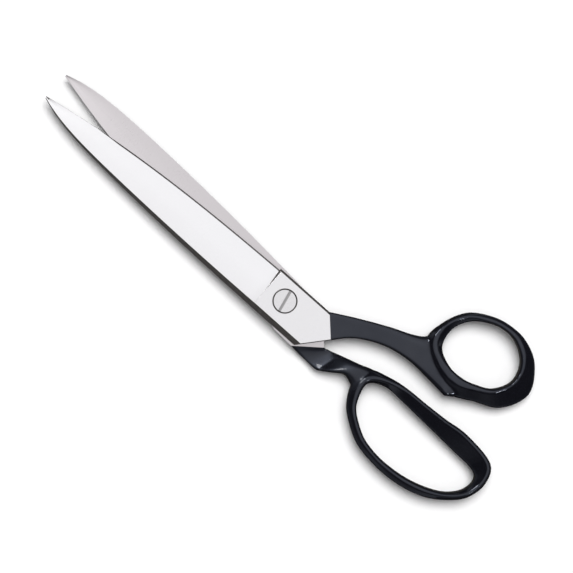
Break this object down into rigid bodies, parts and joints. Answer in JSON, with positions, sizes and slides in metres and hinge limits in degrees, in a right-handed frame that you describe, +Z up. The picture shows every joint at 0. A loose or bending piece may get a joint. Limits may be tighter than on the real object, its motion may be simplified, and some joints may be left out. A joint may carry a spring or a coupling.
{
  "type": "fabric shears",
  "caption": "Industrial bent fabric shears with long ground steel blades, a slotted pivot screw and black enamelled thumb and finger bows.",
  "frame": {"origin": "on the pivot axis, at the resting plane under the pivot screw's end", "axes": "+X along the closed blades towards the tips, +Z up through the screw head, +Y by the right hand"},
  "size_m": [0.3065, 0.1024, 0.0145],
  "materials": {
    "forged_steel": "ground and polished, nickel plated",
    "tool_steel": "fine ground",
    "black_enamel": "gloss",
    "screw_steel": "fine turned",
    "dark_steel": "oiled"
  },
  "bodies": {
    "finger_half": {"finger_forging": "forged_steel", "finger_cutting_edge": "tool_steel", "finger_bow_enamel": "black_enamel", "pivot_screw": "screw_steel", "lock_washer": "dark_steel", "pivot_nut": "dark_steel"},
    "thumb_half": {"thumb_forging": "forged_steel", "thumb_cutting_edge": "tool_steel", "thumb_bow_enamel": "black_enamel"}
  },
  "joints": [
    {"name": "blade_pivot", "type": "hinge", "parent": "finger_half", "child": "thumb_half", "pos_m": [0, 0, 0], "axis": [0, 0, 1], "range_deg": [-5.3, 109.7]}
  ]
}
